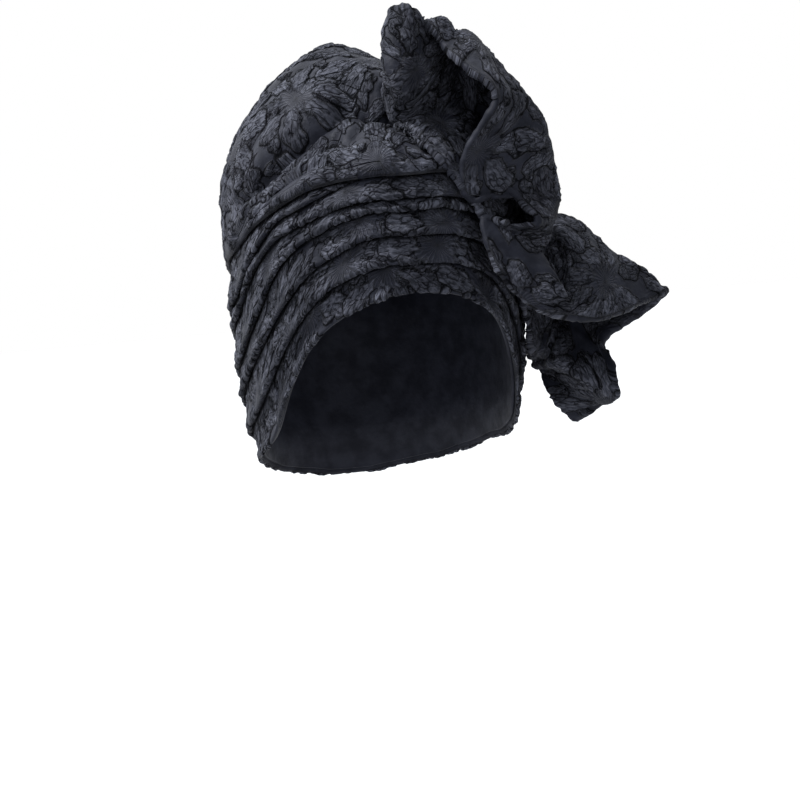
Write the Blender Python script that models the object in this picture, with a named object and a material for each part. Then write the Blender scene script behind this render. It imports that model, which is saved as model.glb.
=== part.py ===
"""Turban cap of stiff black brocade, as it sits on a head.

A hollow crown bag runs from its rounded top down to the rim. Six folded pleats lie over its lower wall like
shingles, each tucked under the fold above it. One gathered ruffle stands out at the wearer's left front.
The frame has +Z up, the wearer facing -Y and the wearer's left at +X. The origin is the middle of the head
opening at hat line height. Tables are in millimetres and the meshes in metres.
"""

import math

import bpy
import numpy as np
from mathutils import Vector
from mathutils.bvhtree import BVHTree

MM = 0.001

NORMAL_STEP = 0.2
SHARP_EDGE_ANGLE = 40.0

# Head form: 560 mm around the hat line.
HEAD_HALF_WIDTH = 77.0
HEAD_HALF_LENGTH = 100.0
NAPE_DEPTH = 120.0
NAPE_NARROWING = 13.0
NAPE_SHORTENING = 16.0
HEAD_DOME_START = 20.0
HEAD_DOME_RISE = 150.0

# Crown bag above the pleats.
CROWN_WALL = 2.0
BAG_HALF_WIDTH = 84.0
BAG_HALF_LENGTH = 104.0
BAG_DOME_START = 40.0
BAG_TOP = 154.0
BAG_ROUNDNESS = 0.66
BAG_LEAN_BACK = 20.0
BAG_LEAN_RIGHT = -4.0
CUFF_PROUD = 5.6
CUFF_BLEND_RISE = 26.0
CUFF_FIRM_RISE = 20.0
CUFF_POCKET = 2.6
CUFF_POCKET_DEPTH = 4.6
CUFF_LIP = 0.6
CUFF_TURN = 0.5
CUFF_FACE_RISE = 1.0
BAG_FIRST_RISE = 3.5
LOWER_SHARES = (0.0, 0.25, 0.5, 0.75, 1.0)
LOBE_SHARES = (0.0, 0.35, 0.7, 0.9, 1.0)
TOP_SHARES = (0.08, 0.2, 0.4, 0.62, 0.82, 0.95)

# Pleats.
STATIONS = 52
PLEAT_CLOTH = 1.7
PLEAT_GAP = 0.35
PLEAT_FOLD_PROUD = 5.7
PLEAT_FACE_PROUD = 4.7
RIM_FOLD_PROUD = 3.2
TUCK = 3.0
CLOSED_DROP = 1.4
LEAST_ROOM = 2.0
FULL_ROOM = 7.0
TUCKED_ROOM = 0.4
UNDERLAP_RATE = 2.5
RIM_HEM = 2.5
RIM_TUCK_SHARE = 0.5
INNER_EDGE_RISE = 0.9
FOLD_TURN = 0.5
FOLD_FACE_RISE = 1.1
FACE_SHARE = 0.55
FACE_END_DROP = 0.4
TUCK_STEP = 0.6
BACK_STEP = 2.2
LEAST_STEP = 0.3

# The pleats peak a little to the wearer's right of the face and fall evenly to both sides.
BAND_PEAK_ANGLE = -13.0
# Height of each fold line at these angles from the peak. The last line is the lower fold of the crown bag.
FOLD_ANGLES = (0, 20, 40, 55, 70, 85, 102, 135, 180)
FOLD_HEIGHTS = {
    "pleat_1": (5, 0, -17, -43, -73, -85, -91, -104, -112),
    "pleat_2": (21, 18, 3, -22, -48, -64, -74, -88, -94),
    "pleat_3": (37, 35, 21, 0, -23, -40, -52, -69, -76),
    "pleat_4": (51, 50, 39, 24, -3, -23, -35, -51, -58),
    "pleat_5": (58, 57, 49, 40, 23, 0, -11, -31, -39),
    "pleat_6": (71, 70, 59, 50, 31, 11, 1, -15, -22),
    "crown": (70, 70, 66, 57, 47, 36, 29, 12, 2),
}

# Swag valley across the crown bag: a row per direction around the head.
VALLEY_COLUMNS = ("angle", "height", "depth", "lower_spread", "bulge")
VALLEY_ROWS = (
    (-180, 56, 1.0, 14, 0.0),
    (-130, 56, 1.0, 14, 0.0),
    (-104, 60, 2.0, 14, 0.5),
    (-84, 69, 8.0, 18, 3.0),
    (-67, 86, 13.0, 24, 5.0),
    (-52, 98, 14.0, 26, 6.0),
    (-38, 112, 14.0, 22, 6.0),
    (-26, 119, 14.0, 12, 6.0),
    (-17, 116, 16.0, 8, 6.0),
    (-9, 112, 17.0, 8, 6.0),
    (-2, 109, 7.0, 8, 5.0),
    (5, 108, 1.0, 12, 4.0),
    (20, 106, 1.0, 14, 3.0),
    (50, 94, 1.0, 14, 3.0),
    (90, 72, 1.0, 14, 1.0),
    (130, 58, 1.0, 14, 0.0),
    (180, 56, 1.0, 14, 0.0),
)
VALLEY_UPPER_SPREAD = 8.0
VALLEY_DEEPEST = 14.0
VALLEY_OVERHANG = 5.0

# Line along which the ruffle is gathered onto the cap, from the crown's top down to the temple.
BASE_COLUMNS = ("angle", "height")
BASE_ROWS = (
    (1, 124),
    (-2, 108),
    (-4, 88),
    (3, 69),
    (13, 48),
    (23, 24),
    (36, 2),
    (47, -33),
)

# Ruffle sections, from its top end down to its tail. The sheet runs from the base line through the hollow
# and the crest to its free edge. Places are across (to the wearer's left), up and out, in a plane turned
# from the front to the wearer's right.
RUFFLE_TURN = 25.0
RUFFLE_WALL = 2.4
RUFFLE_CLEARANCE = 3.0
ENVELOPE_ANGLE_STEP = 3.0
ENVELOPE_HEIGHT_STEP = 2.5
LIFT_PASSES = 4
RUFFLE_REST_TOP = 146.0
COLUMN_EVENNESS = 0.5
RUFFLE_COLUMNS = (
    "name", "base",
    "hollow_across", "hollow_up", "hollow_out",
    "crest_across", "crest_up", "crest_out",
    "edge_across", "edge_up", "edge_out",
)
RUFFLE_ROWS = (
    ("turn", 0.00, 21, 131, 68, 24, 148, 62, 27, 163, 56),
    ("side", 0.04, 16, 132, 80, 18, 149, 74, 23, 165, 66),
    ("peak", 0.12, 25, 121, 86, 28, 145, 80, 32, 165, 70),
    ("scoop", 0.20, 38, 116, 74, 49, 156, 60, 45, 154, 69),
    ("brim", 0.25, 50, 116, 58, 60, 153, 48, 53, 139, 76),
    ("lip", 0.31, 62, 117, 48, 71, 148, 44, 62, 129, 86),
    ("roll", 0.38, 71, 110, 46, 85, 130, 54, 76, 114, 92),
    ("lobe_top", 0.46, 76, 95, 42, 101, 104, 60, 73, 100, 94),
    ("lobe_middle", 0.53, 78, 79, 38, 108, 84, 62, 60, 81, 94),
    ("lobe_low", 0.60, 81, 63, 40, 111, 63, 60, 57, 65, 92),
    ("lobe_corner", 0.63, 85, 56, 34, 112, 54, 54, 61, 55, 92),
    ("lobe_under", 0.66, 89, 50, 34, 111, 46, 54, 82, 56, 82),
    ("ribbon", 0.69, 92, 42, 37, 106, 35, 58, 97, 39, 79),
    ("curl_over", 0.715, 90, 35, 46, 101, 28, 67, 79, 37, 91),
    ("curl_corner", 0.74, 86, 26, 54, 98, 22, 76, 66, 42, 93),
    ("curl_middle", 0.78, 88, 12, 61, 103, 12, 84, 70, 18, 98),
    ("curl_low", 0.82, 97, -3, 62, 109, -3, 87, 87, -6, 98),
    ("saddle", 0.86, 106, 6, 48, 114, -9, 77, 112, -18, 89),
    ("wing_front", 0.88, 106, 28, 36, 131, 12, 58, 135, -17, 76),
    ("wing_end", 0.895, 108, 37, 26, 146, 11, 42, 160, -10, 51),
    ("wing_tip", 0.91, 112, 38, 18, 152, 10, 31, 173, -6, 37),
    ("wing_back", 0.925, 119, 10, 9, 139, -9, 19, 152, -23, 28),
    ("notch", 0.94, 112, -9, 11, 127, -23, 18, 134, -33, 30),
    ("tail_front", 0.955, 107, -21, 16, 123, -38, 29, 137, -49, 45),
    ("tail_tip", 0.97, 100, -37, 23, 117, -53, 37, 138, -65, 45),
    ("tail_back", 0.985, 99, -45, 9, 112, -61, 18, 129, -72, 27),
    ("tail_end", 1.00, 96, -47, 1, 104, -65, 8, 115, -81, 16),
)
STEPS_PER_SECTION = 2
COLUMN_STEPS = 13

BROCADE_COLOUR = (0.018, 0.018, 0.022, 1.0)
BROCADE_ROUGHNESS = 0.55


def remove_scene_objects():
    for old in list(bpy.data.objects):
        bpy.data.objects.remove(old, do_unlink=True)


def brocade_material(name):
    material = bpy.data.materials.new(name)
    material.use_nodes = True
    shader = material.node_tree.nodes["Principled BSDF"]
    shader.inputs["Base Color"].default_value = BROCADE_COLOUR
    shader.inputs["Roughness"].default_value = BROCADE_ROUGHNESS
    shader.inputs["Metallic"].default_value = 0.0
    return material


# Curves through table rows
def through(knots, values, at):
    """Smooth values at the given places on a curve through the knots."""
    knots = np.asarray(knots, float)
    values = np.asarray(values, float)
    at = np.clip(np.asarray(at, float), knots[0], knots[-1])
    slopes = np.diff(values, axis=0) / expand(np.diff(knots), values)
    tangents = np.zeros_like(values)
    tangents[1:-1] = 0.5 * (slopes[1:] + slopes[:-1])
    span = np.clip(np.searchsorted(knots, at, side="right") - 1, 0, len(knots) - 2)
    length = knots[span + 1] - knots[span]
    t = expand((at - knots[span]) / length, values)
    length = expand(length, values)
    return (
        (2 * t**3 - 3 * t**2 + 1) * values[span]
        + (t**3 - 2 * t**2 + t) * length * tangents[span]
        + (3 * t**2 - 2 * t**3) * values[span + 1]
        + (t**3 - t**2) * length * tangents[span + 1]
    )


def expand(factor, values):
    """A factor per row, shaped to multiply rows of one or more columns."""
    return factor.reshape(factor.shape + (1,) * (values.ndim - 1))


def column(rows, columns, name):
    return [row[columns.index(name)] for row in rows]


def smooth_step(value):
    value = np.clip(value, 0.0, 1.0)
    return value * value * (3.0 - 2.0 * value)


def bell(value):
    return np.exp(-(value**2))


def signed_angle(angle):
    return (np.asarray(angle, float) + 180.0) % 360.0 - 180.0


# Head and crown form. Angles are in degrees from the front, positive to the wearer's left.
def fold_height(name, angle):
    from_peak = np.abs(signed_angle(angle - BAND_PEAK_ANGLE))
    return through(FOLD_ANGLES, FOLD_HEIGHTS[name], from_peak)


def ellipse_point(angle, half_width, half_length, centre_x, centre_y, height):
    turn = np.radians(angle)
    return np.stack(
        [
            centre_x + half_width * np.sin(turn),
            centre_y - half_length * np.cos(turn),
            height + 0.0 * turn,
        ],
        axis=-1,
    )


def wall_point(angle, height):
    """Outside of the crown's lower wall, which hugs the head."""
    low = np.clip(-height / NAPE_DEPTH, 0.0, 1.0) ** 2
    rise = np.clip((height - HEAD_DOME_START) / HEAD_DOME_RISE, 0.0, 0.98)
    dome = np.sqrt(1.0 - rise**2)
    half_width = (HEAD_HALF_WIDTH + CROWN_WALL - NAPE_NARROWING * low) * dome
    half_length = (HEAD_HALF_LENGTH + CROWN_WALL - NAPE_SHORTENING * low) * dome
    return ellipse_point(angle, half_width, half_length, 0.0 * low, 0.0 * low, height)


def bag_point(angle, height):
    """Outside of the full crown bag, before its folds."""
    rise = np.clip((height - BAG_DOME_START) / (BAG_TOP - BAG_DOME_START), 0.0, 0.9995)
    dome = (1.0 - rise**2) ** BAG_ROUNDNESS
    lean = np.clip((height - HEAD_DOME_START) / NAPE_DEPTH, 0.0, 2.0) ** 1.2
    return ellipse_point(
        angle,
        BAG_HALF_WIDTH * dome,
        BAG_HALF_LENGTH * dome,
        BAG_LEAN_RIGHT * lean,
        BAG_LEAN_BACK * lean,
        height,
    )


def outward(surface, angle, height):
    """Unit normals of a surface of angle and height."""
    step = NORMAL_STEP
    along = surface(angle + step, height) - surface(angle - step, height)
    rise = surface(angle, height + step) - surface(angle, height - step)
    normal = np.cross(along, rise)
    return normal / np.linalg.norm(normal, axis=-1, keepdims=True)


def wall_offset(angle, height, proud):
    proud = np.asarray(proud, float) + 0.0 * height
    return wall_point(angle, height) + proud[..., None] * outward(wall_point, angle, height)


def valley_value(name, angle):
    return through(
        column(VALLEY_ROWS, VALLEY_COLUMNS, "angle"),
        column(VALLEY_ROWS, VALLEY_COLUMNS, name),
        signed_angle(angle),
    )


def crown_skin(angle, height):
    """Outside of the finished crown bag above its cuff, with the lobe and the swag valley."""
    cuff = fold_height("crown", angle)
    valley = valley_value("height", angle)
    depth = valley_value("depth", angle)
    gap = valley - cuff
    lobe = np.clip((height - cuff) / np.maximum(gap, 1.0), 0.0, 1.0)
    bulge = valley_value("bulge", angle) * np.sin(math.pi * lobe)
    side = height - valley
    spread = np.where(side < 0.0, valley_value("lower_spread", angle), VALLEY_UPPER_SPREAD)
    dent = depth * bell(side / spread) * smooth_step((height - cuff) / CUFF_FIRM_RISE)
    blend = smooth_step((height - cuff) / CUFF_BLEND_RISE)[..., None]
    normal = outward(bag_point, angle, height)
    near = wall_offset(angle, height, CUFF_PROUD)
    far = bag_point(angle, height)
    skin = near * (1.0 - blend) + far * blend + (bulge - dent)[..., None] * normal
    droop = VALLEY_OVERHANG * bell((side - VALLEY_UPPER_SPREAD) / VALLEY_UPPER_SPREAD)
    skin[..., 2] -= droop * depth / VALLEY_DEEPEST
    return skin


# Meshes
def new_object(name, points, faces):
    mesh = bpy.data.meshes.new(name)
    mesh.from_pydata([tuple(point) for point in np.asarray(points) * MM], [], faces)
    mesh.validate()
    mesh.shade_smooth()
    mesh.set_sharp_from_angle(angle=math.radians(SHARP_EDGE_ANGLE))
    mesh.materials.append(brocade_material(name + "_brocade"))
    made = bpy.data.objects.new(name, mesh)
    bpy.context.scene.collection.objects.link(made)
    return made


def ring_faces(rings, stations):
    """Faces between neighbouring rings of the same number of points."""
    faces = []
    for ring in range(rings - 1):
        for station in range(stations):
            following = (station + 1) % stations
            low = ring * stations
            high = low + stations
            faces.append((low + station, low + following, high + following, high + station))
    return faces


def crown_rings(angles):
    """Rings up the outside of the crown, then down its inside, each a ring of points."""
    rim = fold_height("pleat_1", angles) + RIM_HEM
    cuff = fold_height("crown", angles)
    pocket_top = cuff + CUFF_POCKET_DEPTH
    outside = [wall_point(angles, rim + (pocket_top - rim) * share) for share in LOWER_SHARES]
    outside.append(wall_offset(angles, pocket_top, CUFF_POCKET))
    outside.append(wall_offset(angles, cuff + CUFF_LIP, CUFF_POCKET))
    outside.append(wall_offset(angles, cuff - CUFF_TURN, 0.5 * (CUFF_POCKET + CUFF_PROUD)))
    outside.append(wall_offset(angles, cuff + CUFF_FACE_RISE, CUFF_PROUD))
    inside = [wall_offset(angles, rim + (pocket_top - rim) * share, -CROWN_WALL) for share in LOWER_SHARES]
    upper_heights = bag_ring_heights(angles)
    outside += [crown_skin(angles, height) for height in upper_heights]
    inside += [crown_lining(angles, height) for height in upper_heights[1:]]
    return outside, inside


def crown_lining(angles, height):
    """Inside of the crown bag: its outside moved in by the wall."""
    return crown_skin(angles, height) - CROWN_WALL * outward(crown_skin, angles, height)


def bag_ring_heights(angles):
    """Ring heights above the cuff, closer together at the swag valley."""
    cuff = fold_height("crown", angles)
    valley = valley_value("height", angles)
    start = cuff + BAG_FIRST_RISE
    low = [start + (valley - start) * share for share in LOBE_SHARES]
    high = [valley + (BAG_TOP - valley) * share for share in TOP_SHARES]
    return low + high


def make_crown():
    angles = np.arange(STATIONS) * 360.0 / STATIONS - 180.0
    outside, inside = crown_rings(angles)
    rings = inside[::-1] + outside
    points = np.concatenate(rings)
    faces = ring_faces(len(rings), STATIONS)
    outer_pole = crown_skin(angles[:1], BAG_TOP + 0.0 * angles[:1])[0]
    inner_pole = outer_pole - (0.0, 0.0, CROWN_WALL)
    inner_apex = len(points)
    outer_apex = inner_apex + 1
    for station in range(STATIONS):
        following = (station + 1) % STATIONS
        top = (len(rings) - 1) * STATIONS
        faces.append((following, station, inner_apex))
        faces.append((top + station, top + following, outer_apex))
    return new_object("crown", np.vstack([points, [inner_pole, outer_pole]]), faces)


def fold_room(low, high):
    """How fully a pleat can open between its own fold line and the next: 0 closed, 1 full."""
    return np.clip((high - low - LEAST_ROOM) / (FULL_ROOM - LEAST_ROOM), 0.0, 1.0)


def pleat_section(angles, name, next_name, after_name):
    """Rings of one pleat's section: nine lines around the head, from its inner lower edge and back."""
    low = fold_height(name, angles)
    high = fold_height(next_name, angles)
    own_room = fold_room(low, high)
    if after_name:
        next_room = fold_room(high, fold_height(after_name, angles))
    else:
        next_room = np.ones_like(high)
    tucked = np.clip((next_room - TUCKED_ROOM) / (1.0 - TUCKED_ROOM), 0.0, 1.0)
    top = high - CLOSED_DROP + (TUCK + CLOSED_DROP) * tucked
    if name == "pleat_1":
        inner = np.full_like(low, PLEAT_GAP)
        outer = np.full_like(low, RIM_FOLD_PROUD)
        own_tuck = RIM_TUCK_SHARE * (high - low)
    else:
        inner = PLEAT_GAP + (PLEAT_CLOTH + PLEAT_GAP) * np.clip(UNDERLAP_RATE * own_room, 0.0, 1.0)
        outer = PLEAT_GAP + PLEAT_CLOTH + (PLEAT_FOLD_PROUD - PLEAT_GAP - PLEAT_CLOTH) * own_room
        own_tuck = TUCK * own_room
    face = outer - (PLEAT_FOLD_PROUD - PLEAT_FACE_PROUD) * own_room
    shown = np.maximum(high, low + LEAST_ROOM)
    flat = PLEAT_GAP + PLEAT_CLOTH
    lines = (
        (inner, low + INNER_EDGE_RISE),
        (0.5 * (inner + outer), low - FOLD_TURN),
        (outer, low + FOLD_FACE_RISE),
        (face, low + FACE_SHARE * (shown - low)),
        (flat, np.minimum(shown - FACE_END_DROP, top - LEAST_STEP)),
        (flat, top),
        (PLEAT_GAP, top),
        (PLEAT_GAP, np.minimum(low + own_tuck + BACK_STEP, top - LEAST_STEP)),
        (inner, np.minimum(low + own_tuck + TUCK_STEP, top - 2.0 * LEAST_STEP)),
    )
    return [wall_offset(angles, height, proud) for proud, height in lines]


def make_pleat(name, next_name, after_name):
    angles = np.arange(STATIONS) * 360.0 / STATIONS - 180.0
    rings = pleat_section(angles, name, next_name, after_name)
    rings.append(rings[0])
    faces = ring_faces(len(rings), STATIONS)
    count = (len(rings) - 1) * STATIONS
    faces = [tuple(index % count for index in face) for face in faces]
    return new_object(name, np.concatenate(rings[:-1]), faces)


# Ruffle
def ruffle_base(share):
    """Line on the cap where the ruffle is gathered."""
    rows = np.linspace(0.0, 1.0, len(BASE_ROWS))
    angle = through(rows, column(BASE_ROWS, BASE_COLUMNS, "angle"), share)
    height = through(rows, column(BASE_ROWS, BASE_COLUMNS, "height"), share)
    return cap_skin(angle, height)


def cap_skin(angle, height):
    """Outermost surface of the cap under the ruffle: pleats below the cuff, bag above it."""
    above = smooth_step((height - fold_height("crown", angle)) / CUFF_POCKET_DEPTH + 1.0)[..., None]
    on_wall = wall_offset(angle, height, PLEAT_FOLD_PROUD)
    return on_wall * (1.0 - above) + crown_skin(angle, height) * above


def rest_on_cap(points, clearance):
    """Points moved straight out from the cap's axis until they are clear of its surface."""
    height = np.clip(points[..., 2], -NAPE_DEPTH, RUFFLE_REST_TOP)
    centre = bag_point(0.0 * height, height) + bag_point(180.0 + 0.0 * height, height)
    centre = 0.5 * centre
    half_width = np.linalg.norm(bag_point(90.0 + 0.0 * height, height) - centre, axis=-1)
    half_length = np.linalg.norm(bag_point(180.0 + 0.0 * height, height) - centre, axis=-1)
    across = (points[..., 0] - centre[..., 0]) / half_width
    along = (points[..., 1] - centre[..., 1]) / half_length
    angle = np.degrees(np.arctan2(across, -along))
    skin = cap_skin(angle, height)
    skin_across = (skin[..., 0] - centre[..., 0]) / half_width
    skin_along = (skin[..., 1] - centre[..., 1]) / half_length
    least = np.hypot(skin_across, skin_along) + clearance / np.minimum(half_width, half_length)
    reach = np.maximum(np.hypot(across, along), 1e-6)
    push = np.where(points[..., 2] < RUFFLE_REST_TOP, np.maximum(least / reach, 1.0), 1.0)
    moved = points.copy()
    moved[..., 0] = centre[..., 0] + across * half_width * push
    moved[..., 1] = centre[..., 1] + along * half_length * push
    return moved


def cap_tree():
    """Search tree of the cap's outermost surface, as a grid of angle and height."""
    angles = np.arange(-180.0, 180.0, ENVELOPE_ANGLE_STEP)
    heights = np.arange(-NAPE_DEPTH, RUFFLE_REST_TOP, ENVELOPE_HEIGHT_STEP)
    rings = [cap_skin(angles, height + 0.0 * angles) for height in heights]
    corners = [Vector(point) for point in np.concatenate(rings)]
    return BVHTree.FromPolygons(corners, ring_faces(len(rings), len(angles)))


def lift_clear(grid, tree, clearance):
    """Grid points moved straight off a surface until each is clear of it."""
    lifted = grid.copy()
    for index in np.ndindex(grid.shape[:2]):
        point = Vector(lifted[index])
        for _ in range(LIFT_PASSES):
            near, normal, _, distance = tree.find_nearest(point)
            gap = math.copysign(distance, (point - near).dot(normal))
            if gap < clearance:
                point += (clearance - gap) * normal
        lifted[index] = point
    return lifted


def ruffle_place(across, up, out):
    """A point of the cap from its place in the ruffle's turned plane."""
    turn = math.radians(RUFFLE_TURN)
    across = np.asarray(across, float)
    out = np.asarray(out, float)
    x = across * math.cos(turn) - out * math.sin(turn)
    y = -across * math.sin(turn) - out * math.cos(turn)
    return np.stack([x, y, np.asarray(up, float)], axis=-1)


def ruffle_line(kind, at):
    rows = np.arange(len(RUFFLE_ROWS))
    places = ruffle_place(
        column(RUFFLE_ROWS, RUFFLE_COLUMNS, kind + "_across"),
        column(RUFFLE_ROWS, RUFFLE_COLUMNS, kind + "_up"),
        column(RUFFLE_ROWS, RUFFLE_COLUMNS, kind + "_out"),
    )
    return through(rows, places, at)


def ruffle_grid(rows, columns):
    """Middle surface of the ruffle's sheet: rows along the gathered line, columns from base to edge."""
    at = np.linspace(0.0, len(RUFFLE_ROWS) - 1.0, rows)
    share = through(np.arange(len(RUFFLE_ROWS)), column(RUFFLE_ROWS, RUFFLE_COLUMNS, "base"), at)
    lines = np.stack([ruffle_base(share)] + [ruffle_line(kind, at) for kind in ("hollow", "crest", "edge")])
    grid = np.empty((rows, columns, 3))
    for row in range(rows):
        lengths = np.linalg.norm(np.diff(lines[:, row], axis=0), axis=1)
        knots = np.concatenate([[0.0], np.cumsum(lengths**COLUMN_EVENNESS)])
        grid[row] = through(knots, lines[:, row], np.linspace(0.0, knots[-1], columns))
    return rest_on_cap(grid, RUFFLE_CLEARANCE)


def grid_normals(grid):
    normals = np.cross(np.gradient(grid, axis=0), np.gradient(grid, axis=1))
    return normals / np.linalg.norm(normals, axis=-1, keepdims=True)


def make_ruffle():
    rows = (len(RUFFLE_ROWS) - 1) * STEPS_PER_SECTION + 1
    grid = lift_clear(ruffle_grid(rows, COLUMN_STEPS), cap_tree(), RUFFLE_CLEARANCE)
    offset = 0.5 * RUFFLE_WALL * grid_normals(grid)
    points = np.concatenate([(grid + offset).reshape(-1, 3), (grid - offset).reshape(-1, 3)])
    back = rows * COLUMN_STEPS
    faces = []
    for row in range(rows - 1):
        for step in range(COLUMN_STEPS - 1):
            a = row * COLUMN_STEPS + step
            b = a + 1
            c = a + COLUMN_STEPS + 1
            d = a + COLUMN_STEPS
            faces.append((a, d, c, b))
            faces.append((back + a, back + b, back + c, back + d))
    around = [row * COLUMN_STEPS for row in range(rows)]
    around += [(rows - 1) * COLUMN_STEPS + step for step in range(1, COLUMN_STEPS)]
    around += [row * COLUMN_STEPS + COLUMN_STEPS - 1 for row in range(rows - 2, -1, -1)]
    around += list(range(COLUMN_STEPS - 2, 0, -1))
    for start, end in zip(around, around[1:] + around[:1]):
        faces.append((start, back + start, back + end, end))
    return new_object("ruffle", points, faces)


def main():
    remove_scene_objects()
    make_crown()
    names = list(FOLD_HEIGHTS)
    for index in range(len(names) - 1):
        after = names[index + 2] if index + 2 < len(names) else None
        make_pleat(names[index], names[index + 1], after)
    make_ruffle()


main()
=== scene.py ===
import functools
import itertools
from math import copysign, cos, pi, radians, sin

import bpy
import numpy as np
from mathutils import Matrix, Vector
from mathutils.bvhtree import BVHTree


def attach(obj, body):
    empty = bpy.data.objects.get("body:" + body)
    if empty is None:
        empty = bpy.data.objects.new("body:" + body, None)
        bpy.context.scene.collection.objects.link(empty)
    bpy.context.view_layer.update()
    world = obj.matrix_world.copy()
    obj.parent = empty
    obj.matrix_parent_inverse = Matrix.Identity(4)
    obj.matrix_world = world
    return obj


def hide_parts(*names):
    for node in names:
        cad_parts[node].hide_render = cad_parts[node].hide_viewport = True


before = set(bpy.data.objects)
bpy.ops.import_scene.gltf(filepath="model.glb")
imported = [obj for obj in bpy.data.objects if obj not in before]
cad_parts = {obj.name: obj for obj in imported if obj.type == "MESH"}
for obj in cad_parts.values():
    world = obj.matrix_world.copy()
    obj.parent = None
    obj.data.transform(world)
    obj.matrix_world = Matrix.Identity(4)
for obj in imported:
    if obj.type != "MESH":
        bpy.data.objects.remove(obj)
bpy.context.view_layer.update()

MM = 0.001
BODY = "root"
NORMAL_STEP = 0.2
SHORTEST = 1e-9

# Head form
HEAD_HALF_WIDTH = 77.0
HEAD_HALF_LENGTH = 100.0
NAPE_DEPTH = 120.0
NAPE_NARROWING = 13.0
NAPE_SHORTENING = 16.0
HEAD_DOME_START = 20.0
HEAD_DOME_RISE = 150.0

# Crown bag above the pleats
CROWN_WALL = 2.0
BAG_HALF_WIDTH = 84.0
BAG_HALF_LENGTH = 104.0
BAG_DOME_START = 40.0
BAG_TOP = 157.0
BAG_ROUNDNESS = 0.70
BAG_DOME_LIMIT = 0.9995
BAG_LEAN_BACK = 20.0
BAG_LEAN_RIGHT = -4.0
BAG_LEAN_POWER = 1.2
CUFF_PROUD = 5.6
CUFF_BLEND_RISE = 26.0
CUFF_FIRM_RISE = 20.0
CUFF_POCKET = 2.6
CUFF_POCKET_DEPTH = 4.6
CUFF_LIP = 0.6
CUFF_TURN = 0.5
CUFF_FACE_RISE = 1.0
CUFF_FADE_DROP = 1.0
CUFF_FADE = 4.0
BAG_FIRST_RISE = 3.5

# Pleats
PLEAT_CLOTH = 1.7
PLEAT_GAP = 0.35
PLEAT_FOLD_PROUD = 5.7
PLEAT_FACE_PROUD = 3.9
RIM_FOLD_PROUD = 3.2
TUCK = 3.0
CLOSED_DROP = 1.4
LEAST_ROOM = 2.0
FULL_ROOM = 7.0
TUCKED_ROOM = 0.4
UNDERLAP_RATE = 2.5
RIM_HEM = 2.5
RIM_TUCK_SHARE = 0.5
INNER_EDGE_RISE = 0.9
FOLD_TURN = 0.5
FOLD_FACE_RISE = 1.1
FACE_SHARE = 0.42
FACE_END_DROP = 0.4
TUCK_STEP = 0.6
BACK_STEP = 2.2
LEAST_STEP = 0.3
# Length in mm of cloth over which the painted shade deepens towards a pleat's tuck
TUCK_SHADE = 4.6
WAVER = 0.7
WAVER_LENGTH = 14.0
WAVER_RADIUS = 80.0
WAVER_SEED = 54
CROWN_WAVER_SEED = 60
BAND_PEAK_ANGLE = -13.0
FOLD_ANGLES = (0, 20, 40, 55, 70, 85, 102, 135, 180)
# Places on a pleat's section between which it has relief, and how that fades in and out
RELIEF_START = 0.4
RELIEF_END = 4.6
FADE_IN = 0.8
FADE_END = 4.2
FADE_OUT = 0.7
FOLD_HEIGHTS = {
    "pleat_1": (5, 0, -17, -43, -73, -85, -91, -104, -112),
    "pleat_2": (21, 18, 3, -22, -48, -64, -74, -88, -94),
    "pleat_3": (37, 35, 21, 0, -23, -40, -52, -69, -76),
    "pleat_4": (51, 50, 39, 24, -3, -23, -35, -51, -58),
    "pleat_5": (58, 57, 49, 40, 23, 0, -11, -31, -39),
    "pleat_6": (71, 70, 59, 50, 31, 11, 1, -15, -22),
    "crown": (70, 70, 66, 57, 47, 36, 29, 12, 2),
}

# Swag valley across the crown bag
VALLEY_COLUMNS = ("angle", "height", "depth", "lower_spread", "bulge")
VALLEY_ROWS = (
    (-180, 56, 1.0, 14, 0.0),
    (-130, 56, 1.0, 14, 0.0),
    (-104, 60, 2.0, 18, 0.5),
    (-84, 69, 8.0, 26, 3.0),
    (-67, 86, 12.0, 36, 4.0),
    (-52, 98, 12.0, 42, 5.0),
    (-38, 112, 13.0, 40, 5.0),
    (-26, 119, 13.0, 24, 5.0),
    (-17, 116, 16.0, 13, 6.0),
    (-9, 112, 17.0, 11, 6.0),
    (-2, 109, 12.0, 10, 5.0),
    (5, 108, 1.0, 12, 4.0),
    (20, 106, 1.0, 14, 3.0),
    (50, 94, 1.0, 14, 3.0),
    (90, 72, 1.0, 14, 1.0),
    (130, 58, 1.0, 14, 0.0),
    (180, 56, 1.0, 14, 0.0),
)
VALLEY_UPPER_SPREAD = 8.0
VALLEY_DEEPEST = 14.0
VALLEY_OVERHANG = 5.0

# Line along which the ruffle is gathered onto the cap
BASE_COLUMNS = ("angle", "height")
BASE_ROWS = ((1, 124), (-2, 108), (-4, 88), (3, 69), (13, 48), (23, 24), (36, 2), (47, -33))

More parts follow.
